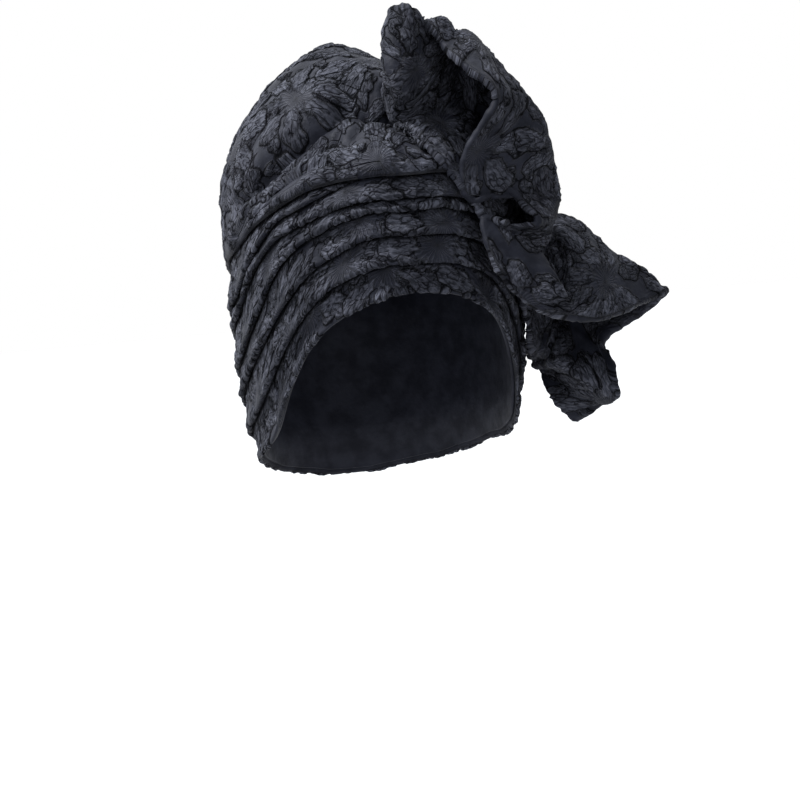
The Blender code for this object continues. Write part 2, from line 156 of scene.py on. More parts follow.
# Ruffle sections, from its top end down to its tail
RUFFLE_TURN = 25.0
RUFFLE_WALL = 2.4
RUFFLE_CLEARANCE = 3.2
ENVELOPE_ANGLE_STEP = 2.0
ENVELOPE_HEIGHT_STEP = 2.0
LIFT_PASSES = 4
RUFFLE_REST_TOP = 146.0
COLUMN_EVENNESS = 0.5
RUFFLE_COLUMNS = (
    "name", "base",
    "hollow_across", "hollow_up", "hollow_out",
    "crest_across", "crest_up", "crest_out",
    "edge_across", "edge_up", "edge_out",
)
RUFFLE_ROWS = (
    ("turn", 0.00, 21, 131, 68, 24, 148, 62, 27, 163, 56),
    ("side", 0.04, 16, 132, 80, 18, 149, 74, 23, 165, 66),
    ("peak", 0.12, 25, 121, 86, 28, 145, 80, 32, 165, 70),
    ("scoop", 0.20, 38, 116, 74, 49, 156, 60, 45, 154, 69),
    ("brim", 0.25, 50, 116, 58, 60, 153, 48, 53, 139, 76),
    ("lip", 0.31, 62, 117, 48, 71, 148, 44, 62, 129, 86),
    ("roll", 0.38, 71, 110, 46, 85, 130, 54, 76, 114, 92),
    ("lobe_top", 0.46, 76, 95, 42, 101, 104, 60, 73, 100, 94),
    ("lobe_middle", 0.53, 78, 79, 38, 108, 84, 62, 60, 81, 94),
    ("lobe_low", 0.60, 81, 63, 40, 111, 63, 60, 57, 65, 92),
    ("lobe_corner", 0.63, 85, 56, 34, 112, 54, 54, 61, 55, 92),
    ("lobe_under", 0.66, 89, 50, 34, 111, 46, 54, 82, 56, 82),
    ("ribbon", 0.69, 92, 42, 37, 106, 35, 58, 97, 39, 79),
    ("curl_over", 0.715, 90, 35, 46, 101, 28, 67, 79, 37, 91),
    ("curl_corner", 0.74, 86, 26, 54, 98, 22, 76, 66, 42, 93),
    ("curl_middle", 0.78, 88, 12, 61, 103, 12, 84, 70, 18, 98),
    ("curl_low", 0.82, 97, -3, 62, 109, -3, 87, 87, -6, 98),
    ("saddle", 0.86, 106, 6, 48, 114, -9, 77, 112, -18, 89),
    ("wing_front", 0.88, 106, 28, 36, 131, 12, 58, 135, -17, 76),
    ("wing_end", 0.895, 108, 37, 26, 146, 11, 42, 160, -10, 51),
    ("wing_tip", 0.91, 112, 38, 18, 152, 10, 31, 173, -6, 37),
    ("wing_back", 0.925, 119, 10, 9, 139, -9, 19, 152, -23, 28),
    ("notch", 0.94, 112, -9, 11, 127, -23, 18, 134, -33, 30),
    ("tail_front", 0.955, 107, -21, 16, 123, -38, 29, 137, -49, 45),
    ("tail_tip", 0.97, 100, -37, 23, 117, -53, 37, 138, -65, 45),
    ("tail_back", 0.985, 99, -45, 9, 112, -61, 18, 129, -72, 27),
    ("tail_end", 1.00, 96, -47, 1, 104, -65, 8, 115, -81, 16),
)

# Ruffle cloth: broad swells, gathers and seams by the gathered line, a fan of wrinkles, and rolled hems
SWELL_HEIGHT = 2.2
SWELL_SIZE = 26.0
GATHER_HEIGHT = 1.1
GATHER_REACH = 14.0
GATHER_WIDTH = 4.4
FAN_HEIGHT = 0.55
FAN_WIDTH = 3.4
FAN_START = 0.45
FAN_RISE = 30.0
FAN_STRETCH = 0.18
SEAM_PLACES = (4.5, 9.0)
SEAM_DEPTH = 0.8
SEAM_WIDTH = 0.9
HEM_SWELL = 0.9
HEM_WIDTH = 3.0
RIM_TURNS = (30, 60, 90, 120, 150)
RUFFLE_LAYOUT_SEEDS = (71, 72)

# Mesh fineness: about one point per millimetre of cloth where it shows
STATIONS = 500
STATION_ANGLES = np.arange(STATIONS) * 360.0 / STATIONS - 180.0
LOWER_RINGS = 5
LOBE_RINGS = 52
TOP_RINGS = 92
TOP_CLOSENESS = 1.5
LINING_LOBE_RINGS = 8
LINING_TOP_RINGS = 16
PLEAT_STEPS = (3, 5, 12, 9, 2, 1, 2, 2, 1)
RUFFLE_FINE_ROWS = 331
RUFFLE_FINE_COLUMNS = 121

# Petals and leaves. A bend is a noise's strength and size in mm, and its seed.
PETALS_PER_FLOWER = (7, 9)
PETAL_LENGTH = (21.0, 30.0)
PETAL_WIDTH = (13.0, 19.0)
PETAL_START = 8.0
PETAL_START_SPREAD = (-2.0, 4.0)
PETAL_TURN_SPREAD = (-0.16, 0.16)
PETAL_RAISE = 0.5
PETAL_EDGE = 1.2
PETAL_SQUARENESS = 2.2
PETAL_SPREAD = 0.35
PETAL_FULLNESS = 0.45
PETAL_LENGTH_LIMIT = 0.75
PETAL_WIDTH_LIMIT = 0.85
PETAL_LONG_BENDS = ((2.8, 8.0, 1), (1.7, 3.4, 8))
PETAL_SIDE_BENDS = ((2.4, 6.0, 2), (1.7, 3.2, 3))
PETAL_TONES = 61
LEAF_LENGTH = (16.0, 24.0)
LEAF_WIDTH = (9.0, 14.0)
LEAF_SEED = 9000
CREASE_DEPTH = 0.35
CREASE_WIDTH = 0.9
WRINKLE_HEIGHT = 0.45
WRINKLE_LENGTH = 11.0
WRINKLE_WIDTH = 3.4
CROSSING_SHARE = 0.7
CROSSING_WIDTH = 4.4
WRINKLE_LEVEL = 0.4
# Farthest distance in mm kept from a line of painted shade
SHADE_LINE_REACH = 4.0

# Middle of a flower
RAYS = 26
RAY_REACH = 12.0
RAY_LIMIT = 2.0
RAGGED_SHARE = 0.45
RAGGED_RADIUS = 8.0
RAGGED_SIZE = 3.0
CENTRE_EDGE = 3.0
CENTRE_RAISE = 0.2
CENTRE_FLATTENING = 0.5
FAINT_SHARE = 0.6
FAINT_REACH = 1.8
FAINT_EDGE = 9.0

# Laying out of the motifs
MOTIF_REACH = 50.6
LEAST_FACING = 0.2
FLOWER_SPACING = 60.0
FLOWER_MARGIN = 22.0
LEAF_SPACING = 20.5
LEAF_MARGIN = 6.0
JITTER = (-0.2, 0.2)
LAYOUT_SEED_STEP = 1000
GOLDEN_ANGLE = 137.50776

# Crumpling: height on the ground, what raised figures add, and size, all in mm
PUCKERS = (0.10, 0.20, 4.2)
CRINKLES = (0.02, 0.16, 2.6)
BUCKLES = (0.35, 0.0, 11.0)

# Columns of a relief: how raised, height in mm, distance in mm to a line of painted shade along petals'
# edges, folds' creases and pleats' tucks, places on a petal and its number, and places on a flower's middle
# and how much of it shows
RAISED, HEIGHT, SHADE_LINE, ALONG, ACROSS, PATCH, RAY_X, RAY_Y, RAY_SHARE = range(9)

# Middles of the crown's flowers: angle, height and turn
CROWN_FLOWERS = ((-59, 123, 20), (-23, 77, 70), (-58, 70, 35), (-104, 98, 10), (10, 142, 40))

# More of the crown's motifs: places tried, how many of them go down the drop, the first one's and the
# last one's drop in mm, and the least distance between two motifs
MORE_FLOWERS = (240, 200, 1.0, 125.0, 0.94 * FLOWER_SPACING)
MORE_LEAVES = (1080, 900, 2.0, 130.0, 0.8 * LEAF_SPACING)
DROP_POWER = 0.9
FLOWER_TURN_STEP = 1.7
FLOWER_SEED = 40
FLOWER_SEED_STEP = 20
CROWN_LEAF_SEED = 500

# Folds pressed into the crown: angle, height and turn of each middle, then its length, width and depth
CROWN_FOLDS = (
    (-39, 93, 85, 40, 2.6, 2.2),
    (-47, 95, 38, 34, 4.0, 2.8),
    (-27, 97, 105, 34, 4.5, 2.4),
    (-56, 76, 34, 60, 4.0, 3.6),
    (-50, 87, 36, 44, 3.6, 3.0),
    (-71, 62, 38, 56, 3.6, 3.6),
    (-84, 55, 44, 44, 3.4, 3.0),
    (-32, 76, 8, 36, 5.0, 1.2),
    (-17, 90, 140, 34, 4.0, 1.8),
    (-12, 79, 135, 36, 4.5, 2.0),
    (-76, 108, 55, 46, 7.0, 1.4),
    (-40, 136, 25, 44, 7.0, 1.2),
    (-24, 132, 150, 30, 5.0, 1.4),
    (-100, 84, 60, 44, 6.0, 1.4),
    (120, 110, 60, 60, 6.0, 1.8),
    (150, 84, 120, 60, 6.0, 1.8),
    (-150, 96, 70, 60, 6.0, 1.8),
    (-126, 70, 50, 56, 5.0, 1.8),
    (80, 92, 130, 50, 5.0, 1.6),
    (175, 124, 90, 50, 7.0, 1.6),
)
FOLD_LIP_SHARE = 0.6
FOLD_LIP_PLACE = 1.7
FOLD_LIP_WIDTH = 1.5
FOLD_TAPER = 1.7
FOLD_CREASE_SHARE = 0.4
FOLD_BENDS = ((1.5, 9.0, 9),)
FACET_SIZE = 24.0
FACET_HEIGHT = 0.9

# Groove of the crown along the ruffle's gathered line
GROOVE_DEPTH = 5.0
GROOVE_SPREAD = 5.0
GROOVE_TOP = 128.0
MM_PER_DEGREE = 1.3


def through(knots, values, at):
    """Smooth values at the given places on a curve through the knots."""
    knots = np.asarray(knots, float)
    values = np.asarray(values, float)
    at = np.clip(np.asarray(at, float), knots[0], knots[-1])
    slopes = np.diff(values, axis=0) / expand(np.diff(knots), values)
    tangents = np.zeros_like(values)
    tangents[1:-1] = 0.5 * (slopes[1:] + slopes[:-1])
    span = np.clip(np.searchsorted(knots, at, side="right") - 1, 0, len(knots) - 2)
    length = knots[span + 1] - knots[span]
    t = expand((at - knots[span]) / length, values)
    length = expand(length, values)
    return (
        (2 * t**3 - 3 * t**2 + 1) * values[span]
        + (t**3 - 2 * t**2 + t) * length * tangents[span]
        + (3 * t**2 - 2 * t**3) * values[span + 1]
        + (t**3 - t**2) * length * tangents[span + 1]
    )


def expand(factor, values):
    """A factor per row, shaped to multiply rows of one or more columns."""
    return factor.reshape(factor.shape + (1,) * (values.ndim - 1))


def at_places(*coordinates):
    """Points from their coordinates, or faces from their corners."""
    return np.stack(np.broadcast_arrays(*coordinates), axis=-1)


def unit(vectors):
    return vectors / np.maximum(np.linalg.norm(vectors, axis=-1, keepdims=True), SHORTEST)


def by_column(columns, rows):
    """A table's columns by name."""
    return dict(zip(columns, zip(*rows)))


VALLEY = by_column(VALLEY_COLUMNS, VALLEY_ROWS)
BASE = by_column(BASE_COLUMNS, BASE_ROWS)
RUFFLE = by_column(RUFFLE_COLUMNS, RUFFLE_ROWS)


def smooth_step(value):
    value = np.clip(value, 0.0, 1.0)
    return value * value * (3.0 - 2.0 * value)


def bell(value):
    return np.exp(-(value**2))


def signed_angle(angle):
    return (np.asarray(angle, float) + 180.0) % 360.0 - 180.0


# Repeatable noise
def lattice(cell, seed):
    """Values from -1 to 1 at whole-number places, the same on each run."""
    mixed = (cell * (374761393, 668265263, 1274126177)).sum(axis=-1) + seed * 2246822519
    mixed = mixed & 0xFFFFFFFF
    mixed = ((mixed ^ (mixed >> 13)) * 1274126177) & 0xFFFFFFFF
    return ((mixed ^ (mixed >> 16)) & 0xFFFF) / 32767.5 - 1.0


def noise(places, size, seed):
    """Smooth noise from -1 to 1, with features of about the given size."""
    at = np.asarray(places, float) / size
    cell = np.floor(at).astype(np.int64)
    share = smooth_step(at - cell)
    value = np.zeros(at.shape[:-1])
    for corner in itertools.product((0, 1), repeat=3):
        weight = np.prod(np.where(corner, share, 1.0 - share), axis=-1)
        value += weight * lattice(cell + corner, seed)
    return value


def ridges(places, size, seed):
    """Sharp creased ridges from -1 to 1."""
    return 1.0 - np.abs(noise(places, size, seed)) * 2.0


def bent_by(values, places, bends):
    """Values moved by noises, each of a strength, a size and a seed."""
    for strength, size, seed in bends:
        values = values + strength * noise(places, size, seed)
    return values


# Head and crown form. Angles are in degrees from the front, positive to the wearer's left.
def fold_height(name, angle):
    from_peak = np.abs(signed_angle(angle - BAND_PEAK_ANGLE))
    turn = np.radians(angle)
    seed = CROWN_WAVER_SEED if name == "crown" else WAVER_SEED + int(name[-1])
    around = at_places(WAVER_RADIUS * np.sin(turn), WAVER_RADIUS * np.cos(turn), 0.0)
    return through(FOLD_ANGLES, FOLD_HEIGHTS[name], from_peak) + WAVER * noise(around, WAVER_LENGTH, seed)


def ellipse_point(angle, half_width, half_length, centre_x, centre_y, height):
    turn = np.radians(angle)
    return at_places(centre_x + half_width * np.sin(turn), centre_y - half_length * np.cos(turn), height)


def wall_point(angle, height):
    """Outside of the crown's lower wall, which hugs the head."""
    low = np.clip(-height / NAPE_DEPTH, 0.0, 1.0) ** 2
    rise = np.maximum((height - HEAD_DOME_START) / HEAD_DOME_RISE, 0.0)
    dome = np.sqrt(1.0 - rise**2)
    half_width = (HEAD_HALF_WIDTH + CROWN_WALL - NAPE_NARROWING * low) * dome
    half_length = (HEAD_HALF_LENGTH + CROWN_WALL - NAPE_SHORTENING * low) * dome
    return ellipse_point(angle, half_width, half_length, 0.0, 0.0, height)


def bag_point(angle, height):
    """Outside of the full crown bag, before its folds."""
    rise = np.clip((height - BAG_DOME_START) / (BAG_TOP - BAG_DOME_START), 0.0, BAG_DOME_LIMIT)
    dome = (1.0 - rise**2) ** BAG_ROUNDNESS
    lean = np.maximum((height - HEAD_DOME_START) / NAPE_DEPTH, 0.0) ** BAG_LEAN_POWER
    half_width, half_length = BAG_HALF_WIDTH * dome, BAG_HALF_LENGTH * dome
    return ellipse_point(angle, half_width, half_length, BAG_LEAN_RIGHT * lean, BAG_LEAN_BACK * lean, height)


def outward(surface, angle, height):
    """Unit normals of a surface of angle and height."""
    along = surface(angle + NORMAL_STEP, height) - surface(angle - NORMAL_STEP, height)
    rise = surface(angle, height + NORMAL_STEP) - surface(angle, height - NORMAL_STEP)
    return unit(np.cross(along, rise))


def wall_offset(angle, height, proud):
    proud = np.asarray(proud, float) + 0.0 * height
    return wall_point(angle, height) + proud[..., None] * outward(wall_point, angle, height)


def valley_value(name, angle):
    return through(VALLEY["angle"], VALLEY[name], signed_angle(angle))


def groove_depth(angle, height):
    """How deep the crown dips along the line where the ruffle is gathered onto it."""
    line = through(BASE["height"][::-1], BASE["angle"][::-1], height)
    apart = MM_PER_DEGREE * signed_angle(angle - line)
    return GROOVE_DEPTH * bell(apart / GROOVE_SPREAD) * smooth_step((GROOVE_TOP - height) / GROOVE_SPREAD)


def crown_skin(angle, height):
    """Outside of the finished crown bag above its cuff, with the lobe and the swag valley."""
    cuff = fold_height("crown", angle)
    valley = valley_value("height", angle)
    depth = valley_value("depth", angle)
    gap = valley - cuff
    lobe = np.clip((height - cuff) / np.maximum(gap, 1.0), 0.0, 1.0)
    bulge = valley_value("bulge", angle) * np.sin(pi * lobe)
    side = height - valley
    spread = np.where(side < 0.0, valley_value("lower_spread", angle), VALLEY_UPPER_SPREAD)
    dent = depth * bell(side / spread) + groove_depth(angle, height)
    dent = dent * smooth_step((height - cuff) / CUFF_FIRM_RISE)
    blend = smooth_step((height - cuff) / CUFF_BLEND_RISE)[..., None]
    normal = outward(bag_point, angle, height)
    near = wall_offset(angle, height, CUFF_PROUD)
    far = bag_point(angle, height)
    skin = near * (1.0 - blend) + far * blend + (bulge - dent)[..., None] * normal
    droop = VALLEY_OVERHANG * bell((side - VALLEY_UPPER_SPREAD) / VALLEY_UPPER_SPREAD)
    skin[..., 2] -= droop * depth / VALLEY_DEEPEST
    return skin


# Brocade relief: a row per cloth point
def blank_relief(count):
    relief = np.zeros((count, RAY_SHARE + 1))
    relief[:, SHADE_LINE] = -SHADE_LINE_REACH
    return relief


def turned(x, y, turn):
    """Flat places along a direction and across it."""
    return x * cos(turn) + y * sin(turn), y * cos(turn) - x * sin(turn)


def paint_petal(relief, x, y, turn, length, width, seed):
    """One crinkled petal or leaf over what is there, with a crease along its edge, where the material also
    paints a line of shade.
    """
    along, across = turned(x, y, turn)
    near = (np.abs(along) < PETAL_LENGTH_LIMIT * length) & (np.abs(across) < PETAL_WIDTH_LIMIT * width)
    near = np.flatnonzero(near)
    if len(near) == 0:
        return
    along, across = along[near], across[near]
    spot = at_places(along, across, 31.0 * seed)
    bent = bent_by(along, spot, PETAL_LONG_BENDS)
    waved = bent_by(across, spot, PETAL_SIDE_BENDS)
    share = 2.0 * bent / length
    half_width = 0.5 * width * (1.0 - PETAL_SPREAD * 0.5 + PETAL_SPREAD * np.clip(share, -1.0, 1.0))
    radial = np.abs(share) ** PETAL_SQUARENESS + np.abs(waved / half_width) ** PETAL_SQUARENESS
    inside = (1.0 - radial ** (1.0 / PETAL_SQUARENESS)) * PETAL_FULLNESS * width
    cover = smooth_step(0.5 + inside / PETAL_EDGE)
    grain = at_places(along * WRINKLE_WIDTH / WRINKLE_LENGTH, across, 17.0 * seed)
    folds = ridges(grain, WRINKLE_WIDTH, seed=4)
    folds = folds + CROSSING_SHARE * ridges(spot, CROSSING_WIDTH, seed=5) - WRINKLE_LEVEL
    crease = CREASE_DEPTH * bell(inside / CREASE_WIDTH)
    target = relief[near]
    target[:, HEIGHT] *= 1.0 - cover
    target[:, HEIGHT] += (PETAL_RAISE + WRINKLE_HEIGHT * folds) * cover - crease
    target[:, RAISED] = np.maximum(target[:, RAISED], cover)
    # Distance inside the petal's edge, for the line of painted shade along it
    top = inside > 0.0
    nearer = top | (np.abs(inside) < np.abs(target[:, SHADE_LINE]))
    target[nearer, SHADE_LINE] = np.clip(inside[nearer], -SHADE_LINE_REACH, SHADE_LINE_REACH)
    target[top, ALONG : PATCH + 1] = at_places(along, across, seed % PETAL_TONES)[top]
    relief[near] = target


def paint_centre(relief, x, y, seed):
    """The places round the middle of a flower, where its fine rays are."""
    radius = np.hypot(x, y)
    near = np.flatnonzero(radius < RAY_LIMIT * RAY_REACH)
    if len(near) == 0:
        return
    radius = radius[near]
    turn = np.arctan2(y[near], x[near])
    ring = at_places(RAGGED_RADIUS * np.cos(turn), RAGGED_RADIUS * np.sin(turn), 5.0 * seed)
    reach = RAY_REACH * (1.0 + RAGGED_SHARE * noise(ring, RAGGED_SIZE, seed=6))
    cover = smooth_step((reach - radius) / CENTRE_EDGE)
    faint = FAINT_SHARE * smooth_step((FAINT_REACH * reach - radius) / FAINT_EDGE)
    for place, value in ((HEIGHT, CENTRE_RAISE), (SHADE_LINE, SHADE_LINE_REACH)):
        relief[near, place] = relief[near, place] * (1.0 - cover) + value * cover
    relief[near, RAISED] *= 1.0 - CENTRE_FLATTENING * cover
    relief[near, RAY_X:] = at_places(x[near], y[near], np.maximum(cover, faint))


def paint_flower(relief, x, y, turn, seed):
    """One open flower around the middle of the given flat places."""
    draw = np.random.default_rng(seed)
    petals = int(draw.integers(PETALS_PER_FLOWER[0], PETALS_PER_FLOWER[1] + 1))
    for petal in draw.permutation(petals):
        angle = turn + 2.0 * pi * petal / petals + draw.uniform(*PETAL_TURN_SPREAD)
        length = draw.uniform(*PETAL_LENGTH)
        start = PETAL_START + draw.uniform(*PETAL_START_SPREAD)
        reach = start + 0.5 * length
        width = draw.uniform(*PETAL_WIDTH)
        petal_x, petal_y = x - reach * cos(angle), y - reach * sin(angle)
        paint_petal(relief, petal_x, petal_y, angle, length, width, seed + int(petal) + 1)
    paint_centre(relief, x, y, seed)


def paint_leaf(relief, x, y, seed):
    draw = np.random.default_rng(seed + LEAF_SEED)
    length, width = draw.uniform(*LEAF_LENGTH), draw.uniform(*LEAF_WIDTH)
    paint_petal(relief, x, y, draw.uniform(0.0, 2.0 * pi), length, width, seed)


def paint_fold(relief, x, y, turn, length, width, depth, seed):
    """One pressed fold: a lip of cloth and the crease beneath it, which the material paints dark as shade.
    """
    along, across = turned(x, y, turn)
    across = bent_by(across, at_places(along, 0.0, 13.0 * seed), FOLD_BENDS)
    lip = FOLD_LIP_SHARE * bell((across + FOLD_LIP_PLACE * width) / (FOLD_LIP_WIDTH * width))
    relief[:, HEIGHT] += depth * bell(FOLD_TAPER * along / length) * (lip - bell(across / width))
    # Painted shade: the crease beneath the lip becomes a line of painted shade
    creased = (np.abs(along) < FOLD_CREASE_SHARE * length) & (np.abs(across) < np.abs(relief[:, SHADE_LINE]))
    relief[creased, SHADE_LINE] = -across[creased]


def crumple(relief, places):
    """Puckers all over, stronger on the raised figures than on the smooth satin ground."""
    raised = relief[:, RAISED]
    layers = ((PUCKERS, noise, 11), (CRINKLES, ridges, 12), (BUCKLES, noise, 13))
    for (ground, figure, size), shape, seed in layers:
        relief[:, HEIGHT] += (ground + figure * raised) * shape(places, size, seed)


def tangent_places(points, normals, middle):
    """Flat places of the points near a middle point of a smooth surface, and which points they are."""
    offset = points - points[middle]
    near = np.flatnonzero((offset**2).sum(axis=1) < MOTIF_REACH**2)
    near = near[normals[near] @ normals[middle] > LEAST_FACING]
    first = unit(np.cross(normals[middle], (0.0, 0.0, 1.0)))
    second = np.cross(normals[middle], first)
    return near, offset[near] @ first, offset[near] @ second


def grid_places(grid):
    """Running lengths along a grid's rows and its columns."""
    down = np.linalg.norm(np.diff(grid, axis=0), axis=2)
    over = np.linalg.norm(np.diff(grid, axis=1), axis=2)
    lengths_down = np.vstack([np.zeros((1, grid.shape[1])), np.cumsum(down, axis=0)])
    lengths_over = np.hstack([np.zeros((grid.shape[0], 1)), np.cumsum(over, axis=1)])
    return lengths_down, lengths_over


def grid_relief(grid, spacing_seed, wrap=False):
    """Relief of a cloth grid: flowers and leaves laid out on its own flat lengths."""
    down, over = grid_places(grid)
    rows, columns = grid.shape[:2]
    relief = blank_relief(rows * columns)
    draw = np.random.default_rng(spacing_seed)
    middle_down = down[:, columns // 2]
    total_down, total_over = middle_down[-1], over.mean(axis=0)[-1]

    def scatter(spacing, margin, paint):
        seed = spacing_seed * LAYOUT_SEED_STEP
        across_count = max(1, round((total_over + 2.0 * margin) / spacing))
        down_count = max(1, round(total_down / spacing))
        for number in range(across_count * down_count):
            step_down, step_over = divmod(number, across_count)
            shift = 0.5 * (step_down % 2) if across_count > 1 else 0.0
            target_down = (step_down + 0.5 + draw.uniform(*JITTER)) / down_count * total_down
            target_over = (step_over + 0.5 + shift + draw.uniform(*JITTER)) / across_count
            target_over = target_over * (total_over + 2.0 * margin) - margin
            row = int(np.clip(np.searchsorted(middle_down, target_down), 0, rows - 1))
            middle = int(np.clip(np.searchsorted(over[row], target_over), 0, columns - 1))
            x = down - down[row]
            if wrap:
                x = (x + 0.5 * total_down) % total_down - 0.5 * total_down
            y = over - over[:, middle : middle + 1]
            y = y + over[row, middle] - np.clip(target_over, -margin, total_over + margin)
            paint(relief, x.reshape(-1), y.reshape(-1), draw.uniform(0.0, 2.0 * pi), seed + number)

    scatter(LEAF_SPACING, LEAF_MARGIN, lambda target, x, y, turn, seed: paint_leaf(target, x, y, seed))
    scatter(FLOWER_SPACING, FLOWER_MARGIN, paint_flower)
    crumple(relief, at_places(down.reshape(-1), over.reshape(-1), 0.0))
    return relief.reshape(rows, columns, -1)


def nearest_place(angles, heights, angle, height):
    """Number of the point nearest to an angle and a height."""
    return int(np.argmin(np.abs(signed_angle(angles - angle)) + np.abs(heights - height)))


def more_places(points, angles, heights, taken, tries):
    """Middles and numbers of more motifs, from the crown's top down, apart from all others."""
    count, per_drop, first_drop, last_drop, spacing = tries
    taken, found = list(taken), []
    for number in range(count):
        height = BAG_TOP - first_drop - last_drop * ((number + 0.5) / per_drop) ** DROP_POWER
        middle = nearest_place(angles, heights, number * GOLDEN_ANGLE, height)
        if all(np.linalg.norm(points[middle] - points[other]) > spacing for other in taken):
            taken.append(middle)
            found.append((middle, number))
    return found


def crown_relief(points, normals, angles, heights):
    """Relief of the crown bag: flowers at chosen places, then evenly round the rest of it."""
    relief = blank_relief(len(points))

    def paint_at(middle, paint, *details):
        near, x, y = tangent_places(points, normals, middle)
        part = relief[near]
        paint(part, x, y, *details)
        relief[near] = part

    chosen = [nearest_place(angles, heights, angle, height) for angle, height, _ in CROWN_FLOWERS]
    flowers = [(middle, radians(place[2])) for middle, place in zip(chosen, CROWN_FLOWERS)]
    more = more_places(points, angles, heights, chosen, MORE_FLOWERS)
    flowers += [(middle, number * FLOWER_TURN_STEP) for middle, number in more]
    for number, (middle, _) in enumerate(more_places(points, angles, heights, [], MORE_LEAVES)):
        paint_at(middle, paint_leaf, CROWN_LEAF_SEED + number)
    for number, (middle, turn) in enumerate(flowers):
        paint_at(middle, paint_flower, turn, FLOWER_SEED + number * FLOWER_SEED_STEP)
    for number, (angle, height, turn, *sizes) in enumerate(CROWN_FOLDS):
        middle = nearest_place(angles, heights, angle, height)
        paint_at(middle, paint_fold, radians(turn), *sizes, number)
    relief[:, HEIGHT] += FACET_HEIGHT * ridges(points, FACET_SIZE, seed=14)
    crumple(relief, points)
    return relief


# Meshes
def new_piece(name, points, faces, relief, material):
    mesh = bpy.data.meshes.new(name)
    mesh.from_pydata((np.asarray(points) * MM).tolist(), [], faces)
    mesh.validate()
    mesh.shade_smooth()
    relief = relief.astype(np.float32)
    for label, number in (("raised", RAISED), ("shade_line", SHADE_LINE)):
        layer = mesh.attributes.new(label, "FLOAT", "POINT")
        layer.data.foreach_set("value", relief[:, number])
    for label, number in (("petal", ALONG), ("rays", RAY_X)):
        layer = mesh.attributes.new(label, "FLOAT_VECTOR", "POINT")
        layer.data.foreach_set("vector", relief[:, number : number + 3].reshape(-1))
    mesh.materials.append(material)
    return linked(name, mesh)


def linked(name, data):
    """A new object in the scene."""
    made = bpy.data.objects.new(name, data)
    bpy.context.scene.collection.objects.link(made)
    return made


def ring_faces(rings, stations):
    """Faces between neighbouring rings of the same number of points."""
    start, station = np.arange(rings - 1)[:, None] * stations, np.arange(stations)
    low, following = start + station, start + (station + 1) % stations
    return at_places(low, following, following + stations, low + stations).reshape(-1, 4).tolist()


def surface_normals(rings):
    """Normals of closed rings of points, one stack of rings after another."""
    along = np.roll(rings, -1, axis=1) - np.roll(rings, 1, axis=1)
    return unit(np.cross(along, np.gradient(rings, axis=0)))


def bag_heights(cuff, valley, lobe_shares, top_rings):
    """Heights of the bag's rings: up the lobe to the valley, then closer together towards the top."""
    start = cuff + BAG_FIRST_RISE
    top_shares = 1.0 - (1.0 - np.linspace(0.0, 1.0, top_rings + 2)[1:-1]) ** TOP_CLOSENESS
    heights = [start + (valley - start) * share for share in lobe_shares]
    return heights + [valley + (BAG_TOP - valley) * share for share in top_shares]


def bag_rings(angles, cuff, valley):
    """Rings of the bag's outside above the cuff's fold, and their relief."""
    heights = bag_heights(cuff, valley, np.linspace(0.0, 1.0, LOBE_RINGS), TOP_RINGS)
    heights = np.array([cuff + CUFF_FACE_RISE] + heights)
    around = np.broadcast_to(angles, heights.shape)
    skin = crown_skin(around, heights)
    skin[0] = wall_offset(angles, heights[0], CUFF_PROUD)
    normals = surface_normals(skin)
    places = around.reshape(-1), heights.reshape(-1)
    relief = crown_relief(skin.reshape(-1, 3), normals.reshape(-1, 3), *places)
    relief = relief.reshape(heights.shape + (-1,))
    fade = smooth_step((heights - cuff + CUFF_FADE_DROP) / CUFF_FADE)
    return skin + (relief[..., HEIGHT] * fade)[..., None] * normals, relief


def make_crown(material):
    angles = STATION_ANGLES
    rim = fold_height("pleat_1", angles) + RIM_HEM
    cuff = fold_height("crown", angles)
    valley = valley_value("height", angles)
    pocket_top = cuff + CUFF_POCKET_DEPTH
    wall_heights = [rim + (pocket_top - rim) * share for share in np.linspace(0.0, 1.0, LOWER_RINGS)]
    lower = [wall_point(angles, height) for height in wall_heights]
    lower.append(wall_offset(angles, pocket_top, CUFF_POCKET))
    lower.append(wall_offset(angles, cuff + CUFF_LIP, CUFF_POCKET))
    lower.append(wall_offset(angles, cuff - CUFF_TURN, 0.5 * (CUFF_POCKET + CUFF_PROUD)))
    lining = [wall_offset(angles, height, -CROWN_WALL) for height in wall_heights]
    lobe_shares = np.linspace(0.0, 1.0, LINING_LOBE_RINGS + 1)[1:]
    for height in bag_heights(cuff, valley, lobe_shares, LINING_TOP_RINGS):
        lining.append(crown_skin(angles, height) - CROWN_WALL * outward(crown_skin, angles, height))
    bag, bag_relief = bag_rings(angles, cuff, valley)
    rings = lining[::-1] + lower + list(bag)
    points = np.concatenate(rings)
    relief = blank_relief(len(points) + 2)
    relief[-2 - len(bag) * STATIONS : -2] = bag_relief.reshape(len(bag) * STATIONS, -1)
    top = crown_skin(angles[:1], np.full(1, BAG_TOP))[0]
    top_height = bag_relief[-1, :, HEIGHT].mean()
    points = np.vstack([points, top - (0.0, 0.0, CROWN_WALL), top + (0.0, 0.0, top_height)])
    faces = ring_faces(len(rings), STATIONS)
    last = (len(rings) - 1) * STATIONS
    for station in range(STATIONS):
        following = (station + 1) % STATIONS
        faces.append([following, station, len(points) - 2])
        faces.append([last + station, last + following, len(points) - 1])
    return new_piece("crown_cloth", points, faces, relief, material)


def fold_room(low, high):
    """How fully a pleat can open between its own fold line and the next: 0 closed, 1 full."""
    return np.clip((high - low - LEAST_ROOM) / (FULL_ROOM - LEAST_ROOM), 0.0, 1.0)


